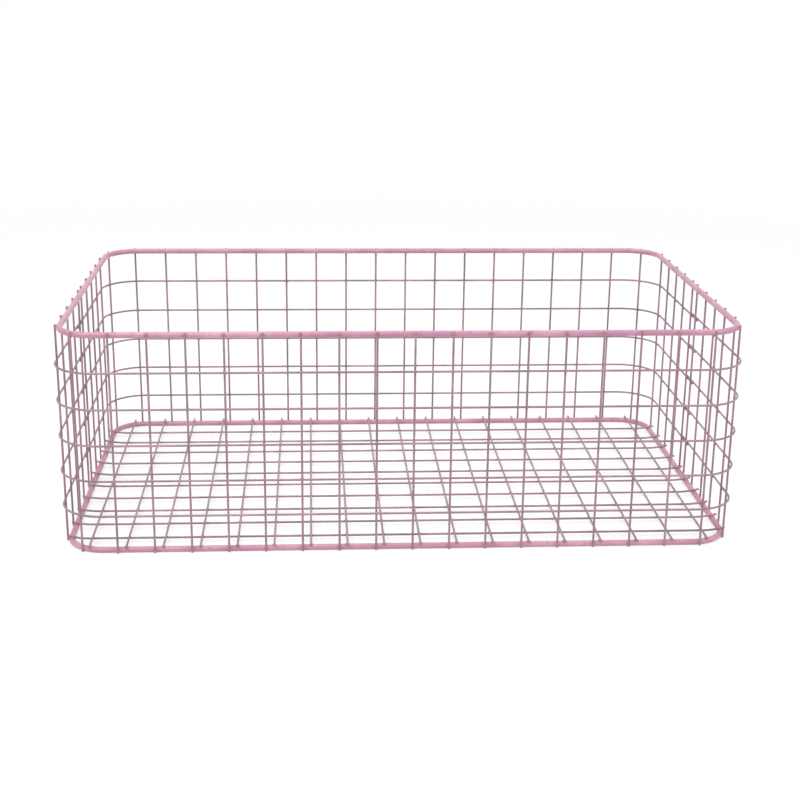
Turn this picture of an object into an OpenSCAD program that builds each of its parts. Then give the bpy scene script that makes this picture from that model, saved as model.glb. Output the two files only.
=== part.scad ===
// Wire locker basket: a welded, coated steel basket, open at the top.
// Two thick rods, bent into rounded rectangles, are its rim and its base frame. Two equal mesh
// panels, bent into a U, stand against the outside of both rods and lap at the middle of the
// ends. A flat mesh of straight wires lies on the base frame and is the floor.
// Origin: centre of the footprint, on the surface that the basket stands on. The long side runs
// along X, the front is at -Y, and +Z is up. Millimetres.

/* [Basket] */
// Length between the centres of the rim's two end rails
basket_l = 463; // [260:1:640]
// Depth between the centres of the rim's front and back rails
basket_w = 275; // [160:1:440]
// Height from the resting surface to the top of the rim
basket_h = 157; // [90:1:300]
// Bend radius of the corners of the rim and the base frame, to the middle of the rod
corner_r = 25.4; // [14:0.2:50]

/* [Rods] */
// Thickness of the rim and base rods, with their coating
rod_d = 4.2; // [3:0.1:8]
// Depth of the narrow flat along the underside of the base frame
foot_flat = 0.15; // [0.05:0.05:0.4]

/* [Mesh] */
// Thickness of the mesh wires, with their coating
mesh_d = 1.5; // [1:0.1:3]
// Distance between neighbouring mesh wires
mesh_pitch = 25.4; // [12:0.1:50]
// How far two welded wires sink into each other
weld_set = 0.1; // [0.05:0.05:0.3]

/* [Wall panels] */
// Sideways shift of each panel from the middle of its wall
panel_shift = 7; // [0:0.5:12]
// Length of a hoop's end beyond the panel's last upright
hoop_stub = 15; // [4:0.5:22]
// How far the uprights stop below the top of the rim
upright_top_gap = 0.3; // [0:0.1:2]
// How far the uprights stop above the resting surface
upright_foot_gap = 0.4; // [0.2:0.1:2]

/* [Floor] */
// Shift of the floor mesh towards the front
floor_shift = 6; // [0:0.5:10]
// How far the floor wires reach past the outside of the base rod
floor_overhang = 0.9; // [0:0.1:1.2]

/* [Hidden] */
$fn = 48;

// Heights of the rods' centres
base_z = rod_d / 2 - foot_flat;
rim_z = basket_h - rod_d / 2;

// Distances between the centres of two wires that are welded across each other
rod_to_mesh = (rod_d + mesh_d) / 2 - weld_set;
mesh_to_mesh = mesh_d - weld_set;

// The uprights stand outside the rods, and the hoops outside the uprights
upright_out = rod_to_mesh;
hoop_out = upright_out + mesh_to_mesh;

// A wall's line, measured along the outline that is `out` outside the rods' centres:
// half the straight front, then the corner, then the straight end
front_half = basket_l / 2 - corner_r;
end_half = basket_w / 2 - corner_r;
function corner_len(out) = (corner_r + out) * PI / 2;
half_turn = 2 * front_half + 2 * end_half + 2 * corner_len(upright_out);

// Two panels meet at each end with a narrow gap between their last uprights
lap_gap_min = 2 * mesh_d;
upright_count = floor((half_turn - lap_gap_min) / mesh_pitch) + 1;
panel_half = (upright_count - 1) * mesh_pitch / 2;
hoop_count = floor((rim_z - base_z) / mesh_pitch - 0.5);

// The hoops of the two panels lie side by side where the panels lap
hoop_step = mesh_d;

// Floor wires: the cross wires lie on the front and back rails, and the long wires are welded
// under them and rise at both ends on to the end rails
cross_z = base_z + rod_to_mesh;
long_z = cross_z - mesh_to_mesh;
cross_count = floor((basket_l - rod_d) / mesh_pitch);
long_count = floor((basket_w - rod_d) / mesh_pitch);
cross_x0 = -(cross_count - 1) * mesh_pitch / 2;
long_y0 = -(long_count - 1) * mesh_pitch / 2 - floor_shift;

// Each long wire runs straight under the cross wires, and bends up beyond the last of them
rise_start = -cross_x0 + mesh_d;

// The uprights of a wall's straight face share this many names
FACE_NAMES = 4;

// Where an upright stands: its distance along the wall from the middle of the panel's face
function upright_s(i) = -panel_half + i * mesh_pitch + panel_shift;

// The uprights of one stretch of the wall, by the distance at which they stand
face_uprights = [for (i = [0 : upright_count - 1]) if (abs(upright_s(i)) <= front_half) i];
function beyond_corner(s) = abs(s) > front_half + corner_len(upright_out);
function corner_uprights(side) = [for (i = [0 : upright_count - 1])
    if (side * upright_s(i) > front_half && !beyond_corner(upright_s(i))) i];
function end_uprights(side) = [for (i = [0 : upright_count - 1])
    if (side * upright_s(i) > 0 && beyond_corner(upright_s(i))) i];

// Point and heading at distance s along the wall's outline, from the middle of the face
function wall_point(s, out) =
    let (a = abs(s) - front_half, r = corner_r + out, c = corner_len(out), side = sign(s))
    a <= 0 ? [s, -end_half - r] :
    a <= c ? [side * (front_half + r * sin(a / c * 90)), -end_half - r * cos(a / c * 90)] :
    [side * (front_half + r), -end_half + a - c];

// Places of the uprights along the front wall and along the right-hand end, corners included, to
// keep the floor wires' ends clear of them
face_places = [for (i = concat(corner_uprights(-1), face_uprights, corner_uprights(1)))
    wall_point(upright_s(i), upright_out)[0]];
function side_places(side) = [for (i = concat(corner_uprights(side), end_uprights(side)))
    side * wall_point(upright_s(i), upright_out)[1]];
end_places = concat(side_places(1), side_places(-1));

// Reach of a floor wire past the base rod's outside: it stops short where an upright is
function nearest(at, places) = min([for (p = places) abs(p - at)]);
function overhang(at, places) =
    nearest(at, places) < 1.5 * mesh_d ? -2 * weld_set : floor_overhang;

// Half the size of the base frame along a line that is `at` away from its middle, measured
// `out` outside the rod's centre. half is half the frame's straight length on that side, and
// reach half its straight width.
function frame_reach(at, half, reach, out = rod_d / 2) =
    abs(at) <= half ? reach + corner_r + out :
    reach + sqrt(pow(corner_r + out, 2) - pow(abs(at) - half, 2));

function two_digits(n) = str(n < 10 ? "0" : "", n);
cross_nodes = [for (k = [1 : cross_count]) str("floor_cross_wire_", two_digits(k))];
long_nodes = [for (k = [1 : long_count]) str("floor_long_wire_", two_digits(k))];
front_hoop_nodes = [for (k = [1 : hoop_count]) str("front_hoop_", k)];
back_hoop_nodes = [for (k = [1 : hoop_count]) str("back_hoop_", k)];
front_face_nodes = [for (k = [1 : FACE_NAMES]) str("front_wall_uprights_", k)];
back_face_nodes = [for (k = [1 : FACE_NAMES]) str("back_wall_uprights_", k)];

ROD_COLOR = [0.83, 0.60, 0.70];
WIRE_COLOR = [0.78, 0.54, 0.65];

// Straight stretch along +X, with the children as its profile
module straight(len) {
    rotate([90, 0, 90])
        linear_extrude(height = len)
            children();
}

// Bend to the left, from heading +X, with the children as its profile
module bend(radius, angle = 90) {
    translate([0, radius, 0])
        rotate([0, 0, -90])
            rotate_extrude(angle = angle)
                translate([radius, 0])
                    children();
}

// Open rod of several straight runs with a quarter bend to the left between them
module bent(runs, radius, i = 0) {
    straight(runs[i])
        children();
    if (i < len(runs) - 1) {
        translate([runs[i], 0, 0])
            bend(radius)
                children();
        translate([runs[i] + radius, radius, 0])
            rotate([0, 0, 90])
                bent(runs, radius, i + 1)
                    children();
    }
}

// The straight rails of a rounded rectangle of rod, with the children as their profile
module rails() {
    for (turn = [0, 180])
        rotate([0, 0, turn]) {
            translate([-front_half, -end_half - corner_r, 0])
                straight(2 * front_half)
                    children();
            translate([front_half + corner_r, -end_half, 0])
                rotate([0, 0, 90])
                    straight(2 * end_half)
                        children();
        }
}

// The bends that join the rails, end face to end face
module corners() {
    for (turn = [0, 180])
        rotate([0, 0, turn]) {
            translate([front_half, -end_half - corner_r, 0])
                bend(corner_r)
                    children();
            translate([front_half + corner_r, end_half, 0])
                rotate([0, 0, 90])
                    bend(corner_r)
                        children();
        }
}

module base_profile() {
    difference() {
        circle(d = rod_d);
        translate([-rod_d / 2, -base_z - rod_d])
            square([rod_d, rod_d]);
    }
}

module top_rim_rails() {
    color(ROD_COLOR)
        translate([0, 0, rim_z])
            rails()
                circle(d = rod_d);
}

module top_rim_corners() {
    color(ROD_COLOR)
        translate([0, 0, rim_z])
            corners()
                circle(d = rod_d);
}

module base_frame_rails() {
    color(ROD_COLOR)
        translate([0, 0, base_z])
            rails()
                base_profile();
}

module base_frame_corners() {
    color(ROD_COLOR)
        translate([0, 0, base_z])
            corners()
                base_profile();
}

// Places the back panel: the same panel as the front one, turned half round
module back_panel() {
    rotate([0, 0, 180])
        children();
}

// Hoop of a panel: a wire bent into a U round the outside of the uprights. Row 1 is the lowest,
// and side is 1 for the front panel and -1 for the back one.
module hoop(row, side) {
    z = base_z + row * mesh_pitch + side * hoop_step / 2;
    s_left = -panel_half + panel_shift - hoop_stub;
    s_right = panel_half + panel_shift + hoop_stub;
    lead = front_half + corner_len(upright_out);
    radius = corner_r + hoop_out;
    color(WIRE_COLOR)
        translate([-front_half - radius, -end_half - s_left - lead, z])
            rotate([0, 0, -90])
                bent([-s_left - lead, 2 * front_half, s_right - lead], radius)
                    circle(d = mesh_d);
}

module upright(s) {
    at = wall_point(s, upright_out);
    color(WIRE_COLOR)
        translate([at[0], at[1], upright_foot_gap])
            cylinder(d = mesh_d, h = basket_h - upright_top_gap - upright_foot_gap);
}

module uprights(list) {
    for (i = list)
        upright(upright_s(i));
}

// Share k of the uprights of a wall's straight face, of FACE_NAMES equal shares
module face_share(k) {
    n = len(face_uprights);
    first = floor((k - 1) * n / FACE_NAMES);
    last = floor(k * n / FACE_NAMES) - 1;
    uprights([for (j = [first : 1 : last]) face_uprights[j]]);
}

// Straight wire from front to back, on top of the base frame
module cross_wire(i) {
    x = cross_x0 + i * mesh_pitch;
    reach = frame_reach(x, front_half, end_half);
    front = reach + overhang(x, face_places);
    back = reach + overhang(-x, face_places);
    color(WIRE_COLOR)
        translate([x, -front, cross_z])
            rotate([-90, 0, 0])
                cylinder(d = mesh_d, h = front + back);
}

// End of a long floor wire: one soft bend from below the cross wires up and over the end rail,
// as tight as lets the wire just lie on the rail
module long_wire_end(y, places) {
    run = frame_reach(y, end_half, front_half, 0) - rise_start;
    drop = rod_to_mesh - mesh_to_mesh;
    radius = (run * run + drop * drop - rod_to_mesh * rod_to_mesh) / (2 * mesh_to_mesh);
    tip = frame_reach(y, end_half, front_half) + overhang(y, places);
    translate([rise_start, y, long_z])
        rotate([90, 0, 0])
            bend(radius, asin((tip - rise_start) / radius))
                circle(d = mesh_d);
}

module long_wire(i) {
    y = long_y0 + i * mesh_pitch;
    color(WIRE_COLOR) {
        translate([-rise_start, y, long_z])
            straight(2 * rise_start)
                circle(d = mesh_d);
        long_wire_end(y, end_places);
        mirror([1, 0, 0])
            long_wire_end(y, [for (p = end_places) -p]);
    }
}

top_rim_rails();
top_rim_corners();
base_frame_rails();
base_frame_corners();

for (k = [1 : hoop_count]) {
    hoop(k, 1);
    back_panel() hoop(k, -1);
}

for (k = [1 : FACE_NAMES]) {
    face_share(k);
    back_panel() face_share(k);
}

uprights(corner_uprights(-1));  // front_left_corner_uprights
uprights(corner_uprights(1));  // front_right_corner_uprights
uprights(end_uprights(-1));  // front_left_end_uprights
uprights(end_uprights(1));  // front_right_end_uprights
back_panel() uprights(corner_uprights(1));  // back_left_corner_uprights
back_panel() uprights(corner_uprights(-1));  // back_right_corner_uprights
back_panel() uprights(end_uprights(1));  // back_left_end_uprights
back_panel() uprights(end_uprights(-1));  // back_right_end_uprights

for (i = [0 : long_count - 1])
    long_wire(i);

for (i = [0 : cross_count - 1])
    cross_wire(i);
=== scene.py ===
import math
import random

import bpy
from mathutils import Matrix, Vector


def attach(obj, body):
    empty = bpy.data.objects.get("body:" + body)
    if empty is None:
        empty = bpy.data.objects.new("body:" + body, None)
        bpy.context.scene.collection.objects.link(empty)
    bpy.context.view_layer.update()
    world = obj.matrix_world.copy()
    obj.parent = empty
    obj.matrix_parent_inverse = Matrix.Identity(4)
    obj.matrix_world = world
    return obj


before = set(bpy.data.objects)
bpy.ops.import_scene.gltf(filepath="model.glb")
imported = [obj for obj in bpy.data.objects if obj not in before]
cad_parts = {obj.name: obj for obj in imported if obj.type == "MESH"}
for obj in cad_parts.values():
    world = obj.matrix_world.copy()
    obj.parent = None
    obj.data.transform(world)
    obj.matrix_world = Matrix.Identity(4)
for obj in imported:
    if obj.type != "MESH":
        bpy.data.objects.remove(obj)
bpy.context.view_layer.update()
scene = bpy.context.scene

# Sizes of the part in millimetres, as its source has them
BASKET_L = 463.0
BASKET_W = 275.0
BASKET_H = 157.0
CORNER_R = 25.4
ROD_D = 4.2
FOOT_FLAT = 0.15
MESH_D = 1.5
PITCH = 25.4
WELD_SET = 0.1
PANEL_SHIFT = 7.0
FLOOR_SHIFT = 6.0

# How many wires there are: uprights and hoops in each panel, and the floor's two layers
UPRIGHTS = 29
HOOPS = 5
CROSS_WIRES = 18
LONG_WIRES = 10

# Places that follow from the sizes, from the centre of one wire or rod to the next
BASE_Z = ROD_D / 2 - FOOT_FLAT
RIM_Z = BASKET_H - ROD_D / 2
ROD_TO_MESH = (ROD_D + MESH_D) / 2 - WELD_SET
MESH_TO_MESH = MESH_D - WELD_SET
FRONT_HALF = BASKET_L / 2 - CORNER_R
END_HALF = BASKET_W / 2 - CORNER_R
PANEL_HALF = (UPRIGHTS - 1) * PITCH / 2
CROSS_Z = BASE_Z + ROD_TO_MESH
LONG_Z = CROSS_Z - MESH_TO_MESH
CROSS_X0 = -(CROSS_WIRES - 1) * PITCH / 2
LONG_Y0 = -(LONG_WIRES - 1) * PITCH / 2 - FLOOR_SHIFT

# One millimetre in the scene's unit, the metre
MM = 0.001
X = Vector((1, 0, 0))
Y = Vector((0, 1, 0))
UP = Vector((0, 0, 1))

# Weld beads in millimetres: reach along, across and through the joint
WIRE_WELD = (1.25, 1.25, 0.62)
ROD_WELD = (1.45, 1.7, 0.75)
# How much the beads vary: their size, their place in millimetres and their outline
WELD_SIZES = (0.88, 1.14)
WELD_STRAY = 0.12
BEAD_UNEVEN = 0.07
BEAD_RINGS = 6
BEAD_SIDES = 12
WELD_SEED = 5

# The coating's noises: cells per metre, detail and roughness
DRIFT = (38, 4, 0.6)
SPOTS = (420, 3, 0.65)
GRAIN = (1700, 2, 0.5)
RUBS = (90, 3, 0.6)
WAVES = (240, 3, 0.6)
PEEL_DETAIL = (2, 0.5)
# How strongly the grain shows, the peel's and the waves' strength and depth in metres, and the
# coating's roughness where it is whole and where it is rubbed
GRAIN_SHARE = 0.22
PEEL_BUMP = (0.35, 0.0001)
WAVE_BUMP = (0.5, 0.0002)
WHOLE = 0.34
RUBBED = 0.56

# The studio, in metres: a pale floor that glows evenly white from WHITE_FROM to WHITE_BY away
FLOOR_HALF = 30
FLOOR_LEVEL = 0.90
FLOOR_GLOW = 0.6
WHITE_FROM = 0.35
WHITE_BY = 1.6
WORLD_LIGHT = 0.55
WORLD_WHITE = 1.0

# The camera of the photograph, worked out from the crossings of the mesh: focal length in
# pixels of the picture, sensor in millimetres, angles in radians, place in cells of the mesh
# from the middle of the base frame, and clip distances in metres
PICTURE_PX = 800.0
SENSOR = 36.0
FOCAL_PX = 1422.4
YAW = 0.0644
PITCH_DOWN = 0.3055
ROLL = 0.0119
CAMERA_CELLS = (-2.4335, -41.4312, 15.5854)
CLIP = (0.02, 100.0)


# Places on the basket

def wall_point(s, out):
    """Point, heading and outward normal at distance s along the front panel's outline, placed
    `out` outside the rods' centres. s runs along the outline of the uprights."""
    length = (CORNER_R + ROD_TO_MESH) * math.pi / 2
    side = 1 if s >= 0 else -1
    past = abs(s) - FRONT_HALF
    r = CORNER_R + out
    if past <= 0:
        return Vector((s, -END_HALF - r, 0)), Vector((1, 0, 0)), Vector((0, -1, 0))
    if past <= length:
        a = past / length * math.pi / 2
        normal = Vector((side * math.sin(a), -math.cos(a), 0))
        centre = Vector((side * FRONT_HALF, -END_HALF, 0))
        return centre + normal * r, Vector((math.cos(a), side * math.sin(a), 0)), normal
    y = -END_HALF + past - length
    return Vector((side * (FRONT_HALF + r), y, 0)), Vector((0, side, 0)), Vector((side, 0, 0))


def upright_s(i):
    return -PANEL_HALF + i * PITCH + PANEL_SHIFT


def half_turned(vectors):
    return [Vector((-v.x, -v.y, v.z)) for v in vectors]


def rail_reach(at, half, reach):
    """Half the size of the base frame along a line that is `at` away from its middle. half and
    reach are the halves of its straight rails, beside that line and along it."""
    if abs(at) <= half:
        return reach + CORNER_R
    return reach + math.sqrt(CORNER_R ** 2 - (abs(at) - half) ** 2)


# Colours and node trees

def srgb(r, g, b):
    """Linear colour of an 8-bit sRGB one."""
    def linear(c):
        c /= 255
        return c / 12.92 if c <= 0.04045 else ((c + 0.055) / 1.055) ** 2.4
    return (linear(r), linear(g), linear(b), 1.0)


def grey(level):
    return (level, level, level, 1.0)


class Nodes:
    """Empties the node tree of a material or a world, adds nodes to it and links them."""

    def __init__(self, owner):
        owner.use_nodes = True
        self.tree = owner.node_tree
        self.tree.nodes.clear()

    def add(self, kind, inputs=None, **settings):
        """A new node: each input is another node's output or a constant."""
        node = self.tree.nodes.new(kind)
        for key, value in settings.items():
            setattr(node, key, value)
        for key, value in (inputs or {}).items():
            if isinstance(value, bpy.types.NodeSocket):
                self.tree.links.new(value, node.inputs[key])
            else:
                node.inputs[key].default_value = value
        return node

    def noise(self, where, scale, detail, roughness):
        return self.add("ShaderNodeTexNoise", {
            "Vector": where, "Scale": scale, "Detail": detail, "Roughness": roughness,
        }).outputs["Fac"]

    def ramp(self, fac, *stops):
        node = self.add("ShaderNodeValToRGB", {"Fac": fac})
        band = node.color_ramp
        while len(band.elements) < len(stops):
            band.elements.new(0.5)
        for element, (at, colour) in zip(band.elements, stops):
            element.position, element.color = at, colour
        return node.outputs["Color"]

    def mix(self, fac, a, b, blend="MIX"):
        node = self.add("ShaderNodeMix", {0: fac, 6: a, 7: b}, data_type="RGBA", blend_type=blend)
        return node.outputs[2]

    def bump(self, height, strength, depth, under=None):
        """The surface's normal with a bump on it, over the one that `under` gives."""
        inputs = {"Height": height, "Strength": strength, "Distance": depth}
        if under is not None:
            inputs["Normal"] = under
        return self.add("ShaderNodeBump", inputs).outputs["Normal"]

    def any_ray(self, *kinds):
        """1 for the named kinds of ray, and 0 for the others."""
        path = self.add("ShaderNodeLightPath").outputs
        found = path[kinds[0]]
        for kind in kinds[1:]:
            found = self.add("ShaderNodeMath", {0: found, 1: path[kind]}, operation="MAXIMUM").outputs[0]
        return found


# The coating of rods, wires and welds

def coating(name, body, pale, deep, dull, peel, seed):
    """Baked powder coating: a fine orange peel, slow drifts of tone along the wire, small thin
    spots where the steel darkens it, and a few rubbed, duller patches. peel is how many cells of
    orange peel a metre has, and seed moves the pattern."""
    material = bpy.data.materials.new(name)
    nodes = Nodes(material)
    place = nodes.add("ShaderNodeMapping", {
        "Vector": nodes.add("ShaderNodeTexCoord").outputs["Object"],
        "Location": (seed, 2 * seed, 3 * seed),
    }).outputs[0]

    tone = nodes.ramp(nodes.noise(place, *DRIFT), (0.3, deep), (0.5, body), (0.72, pale))
    thin = nodes.ramp(nodes.noise(place, *SPOTS), (0.60, grey(0)), (0.74, grey(1)))
    grain = nodes.ramp(nodes.noise(place, *GRAIN), (0.3, grey(0.25)), (0.7, grey(0.75)))
    colour = nodes.mix(GRAIN_SHARE, nodes.mix(thin, tone, dull), grain, "OVERLAY")

    roughness = nodes.ramp(nodes.noise(place, *RUBS), (0.45, grey(WHOLE)), (0.7, grey(RUBBED)))
    orange_peel = nodes.bump(nodes.noise(place, peel, *PEEL_DETAIL), *PEEL_BUMP)
    surface = nodes.bump(nodes.noise(place, *WAVES), *WAVE_BUMP, under=orange_peel)
    shader = nodes.add("ShaderNodeBsdfPrincipled", {
        "Base Color": colour, "Roughness": roughness, "Normal": surface,
        "Coat Weight": 0.25, "Coat Roughness": 0.22, "Specular IOR Level": 0.45,
    })
    nodes.add("ShaderNodeOutputMaterial", {"Surface": shader.outputs[0]})
    return material


ROD = coating("rod_coating", body=srgb(181, 127, 152), pale=srgb(196, 146, 169),
              deep=srgb(168, 114, 140), dull=srgb(140, 98, 117), peel=1100, seed=0.13)
# Painted shade: the wires have the same pink coat as the rods, but its colours here are darker and greyer,
# standing in for the self-shadow and blur of thin wires
SHADED_WIRE = coating("wire_coating", body=srgb(144, 113, 125), pale=srgb(166, 131, 146),
               deep=srgb(122, 98, 108), dull=srgb(103, 84, 92), peel=1500, seed=0.41)
POOLED = coating("weld_coating", body=srgb(170, 119, 142), pale=srgb(190, 140, 162),
                 deep=srgb(152, 106, 126), dull=srgb(122, 90, 103), peel=900, seed=0.77)

for node_name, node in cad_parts.items():
    is_rod = node_name.startswith(("top_rim", "base_frame"))
    for material_slot in node.material_slots:
        material_slot.material = ROD if is_rod else SHADED_WIRE
    for polygon in node.data.polygons:
        polygon.material_index = 0


# Beads of coating pooled at the welds

def bead(mesh, centre, axes, radii, rng):
    """Adds a slightly uneven ellipsoid to mesh, a pair of lists: vertices and faces. axes are
    its directions along, across and through the joint."""
    verts, faces = mesh
    u, v, n = axes
    first = len(verts)
    uneven = [1 + rng.uniform(-BEAD_UNEVEN, BEAD_UNEVEN) for _ in range(BEAD_SIDES)]
    verts.append(centre + n * radii[2])
    for k in range(1, BEAD_RINGS):
        a = math.pi * k / BEAD_RINGS
        for j in range(BEAD_SIDES):
            b = 2 * math.pi * j / BEAD_SIDES
            reach = math.sin(a) * uneven[j]
            verts.append(centre + u * (radii[0] * reach * math.cos(b))
                         + v * (radii[1] * reach * math.sin(b)) + n * (radii[2] * math.cos(a)))
    verts.append(centre - n * radii[2])
    last = len(verts) - 1
    for j in range(BEAD_SIDES):
        j2 = (j + 1) % BEAD_SIDES
        faces.append((first, first + 1 + j, first + 1 + j2))
        for k in range(BEAD_RINGS - 2):
            row = first + 1 + k * BEAD_SIDES
            faces.append((row + j, row + BEAD_SIDES + j, row + BEAD_SIDES + j2, row + j2))
        row = first + 1 + (BEAD_RINGS - 2) * BEAD_SIDES
        faces.append((row + j, last, row + j2))


def weld(mesh, centre, axes, size, rng):
    """One weld: size is its reach on each of the axes, varied a little."""
    radii = [r * rng.uniform(*WELD_SIZES) for r in size]
    shift = axes[0] * rng.uniform(-WELD_STRAY, WELD_STRAY) + axes[1] * rng.uniform(-WELD_STRAY, WELD_STRAY)
    bead(mesh, centre + shift, axes, radii, rng)


def piece(name, mesh, material):
    data = bpy.data.meshes.new(name)
    data.from_pydata([v * MM for v in mesh[0]], [], mesh[1])
    data.materials.append(material)
    for polygon in data.polygons:
        polygon.use_smooth = True
    data.validate()
    made = bpy.data.objects.new(name, data)
    scene.collection.objects.link(made)
    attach(made, "root")


def panel_welds(panel, side, rng):
    """The welds of one panel. side is 1 for the front panel and -1 for the back one, which is
    the front one's shape turned half round."""
    wire_mesh, rod_mesh = ([], []), ([], [])
    places = [upright_s(i) for i in range(UPRIGHTS)]
    levels = [BASE_Z + row * PITCH + side * MESH_D / 2 for row in range(1, HOOPS + 1)]
    crossing_out = ROD_TO_MESH + MESH_TO_MESH / 2
    crossings = [wall_point(s, crossing_out) for s in places]
    # The hoops' ends are welded to the other panel's last uprights too
    crossings += [half_turned(wall_point(s, crossing_out)) for s in (places[0], places[-1])]
    for point, along, outward in crossings:
        for z in levels:
            weld(wire_mesh, point + UP * z, (along, UP, outward), WIRE_WELD, rng)
    for s in places:
        point, along, outward = wall_point(s, ROD_D / 2 - WELD_SET / 2)
        for z in (BASE_Z, RIM_Z):
            weld(rod_mesh, point + UP * z, (along, UP, outward), ROD_WELD, rng)
    for name, mesh in (("hoop_welds", wire_mesh), ("rod_welds", rod_mesh)):
        if side < 0:
            mesh = (half_turned(mesh[0]), mesh[1])
        piece(f"{panel}_{name}", mesh, POOLED)


def floor_welds(rng):
    """The welds of the floor: where its two layers cross, and on the four rails of the base."""
    wire_mesh, rod_mesh = ([], []), ([], [])
    axes = (X, Y, UP)
    cross_x = [CROSS_X0 + i * PITCH for i in range(CROSS_WIRES)]
    long_y = [LONG_Y0 + i * PITCH for i in range(LONG_WIRES)]
    on_rod = BASE_Z + ROD_D / 2 - WELD_SET / 2
    for x in cross_x:
        for y in long_y:
            weld(wire_mesh, Vector((x, y, LONG_Z + MESH_TO_MESH / 2)), axes, WIRE_WELD, rng)
        reach = rail_reach(x, FRONT_HALF, END_HALF)
        for y in (-reach, reach):
            weld(rod_mesh, Vector((x, y, on_rod)), axes, ROD_WELD, rng)
    for y in long_y:
        reach = rail_reach(y, END_HALF, FRONT_HALF)
        for x in (-reach, reach):
            weld(rod_mesh, Vector((x, y, on_rod)), axes, ROD_WELD, rng)
    piece("floor_mesh_welds", wire_mesh, POOLED)
    piece("floor_rod_welds", rod_mesh, POOLED)


weld_rng = random.Random(WELD_SEED)
panel_welds("front", 1, weld_rng)
panel_welds("back", -1, weld_rng)
floor_welds(weld_rng)


# Floor, world and lamps

def pale_floor(name, colour):
    """A pale floor: the camera and reflections see it partly lit and partly evenly white, so
    that it is white far away and still takes the object's shadow."""
    material = bpy.data.materials.new(name)
    nodes = Nodes(material)
    seen = nodes.any_ray("Is Camera Ray", "Is Glossy Ray", "Is Transmission Ray")
    place = nodes.add("ShaderNodeTexCoord").outputs["Object"]
    away = nodes.add("ShaderNodeVectorMath", {0: place}, operation="LENGTH")
    glow = nodes.add("ShaderNodeMapRange", {
        "Value": away.outputs["Value"], "From Min": WHITE_FROM, "From Max": WHITE_BY,
        "To Min": FLOOR_GLOW, "To Max": 1.0,
    }, interpolation_type="SMOOTHSTEP")
    share = nodes.add("ShaderNodeMath", {0: seen, 1: glow.outputs[0]}, operation="MULTIPLY")
    lit = nodes.add("ShaderNodeBsdfDiffuse", {"Color": colour})
    even = nodes.add("ShaderNodeEmission", {"Color": grey(1.0), "Strength": 1.0})
    shader = nodes.add("ShaderNodeMixShader", {
        0: share.outputs[0], 1: lit.outputs[0], 2: even.outputs[0],
    })
    nodes.add("ShaderNodeOutputMaterial", {"Surface": shader.outputs[0]})
    return material


def studio_floor():
    half = FLOOR_HALF
    data = bpy.data.meshes.new("floor")
    data.from_pydata([(-half, -half, 0), (half, -half, 0), (half, half, 0), (-half, half, 0)],
                     [], [(0, 1, 2, 3)])
    data.materials.append(pale_floor("floor_pale", grey(FLOOR_LEVEL)))
    floor = bpy.data.objects.new("floor", data)
    scene.collection.objects.link(floor)


def studio_world():
    """Even light all round, and plain white for the camera and for reflections."""
    world = bpy.data.worlds.new("studio")
    scene.world = world
    nodes = Nodes(world)
    around = nodes.add("ShaderNodeBackground", {"Color": grey(1.0), "Strength": WORLD_LIGHT})
    behind = nodes.add("ShaderNodeBackground", {"Color": grey(1.0), "Strength": WORLD_WHITE})
    chosen = nodes.add("ShaderNodeMixShader", {
        0: nodes.any_ray("Is Camera Ray", "Is Glossy Ray"),
        1: around.outputs[0], 2: behind.outputs[0],
    })
    nodes.add("ShaderNodeOutputWorld", {"Surface": chosen.outputs[0]})


def lamp(name, place, aim, size, watts):
    data = bpy.data.lights.new(name, "AREA")
    data.shape, data.size, data.energy = "SQUARE", size, watts
    made = bpy.data.objects.new(name, data)
    made.location = place
    made.rotation_euler = (Vector(aim) - Vector(place)).to_track_quat("-Z", "Y").to_euler()
    scene.collection.objects.link(made)


studio_floor()
studio_world()
lamp("key", place=(-0.7, -0.9, 1.7), aim=(0, 0, 0.05), size=1.4, watts=26)
lamp("fill", place=(1.3, -0.9, 1.0), aim=(0, 0, 0.08), size=1.2, watts=9)
lamp("top", place=(0.1, 0.5, 1.9), aim=(0, 0, 0.05), size=1.6, watts=14)


# Camera

def camera_axes(yaw, pitch, roll):
    """Rows: right, down and forward."""
    turn = Matrix((
        (math.cos(yaw), -math.sin(yaw), 0), (math.sin(yaw), math.cos(yaw), 0), (0, 0, 1),
    ))
    swap = Matrix(((1, 0, 0), (0, 0, -1), (0, 1, 0)))
    tilt = Matrix((
        (1, 0, 0), (0, math.cos(pitch), -math.sin(pitch)), (0, math.sin(pitch), math.cos(pitch)),
    ))
    lean = Matrix((
        (math.cos(roll), -math.sin(roll), 0), (math.sin(roll), math.cos(roll), 0), (0, 0, 1),
    ))
    return lean @ tilt @ swap @ turn


def photo_camera():
    right, down, forward = camera_axes(YAW, PITCH_DOWN, ROLL)
    rotation = Matrix((right, -down, -forward)).transposed()
    x, y, z = CAMERA_CELLS
    place = Vector((x * PITCH, y * PITCH, z * PITCH + BASE_Z))
    data = bpy.data.cameras.new("camera")
    data.sensor_width = SENSOR
    data.lens = FOCAL_PX * SENSOR / PICTURE_PX
    data.clip_start, data.clip_end = CLIP
    camera = bpy.data.objects.new("camera", data)
    camera.matrix_world = Matrix.Translation(place * MM) @ rotation.to_4x4()
    scene.collection.objects.link(camera)
    scene.camera = camera


photo_camera()
scene.view_settings.view_transform = "Standard"

bpy.context.view_layer.update()
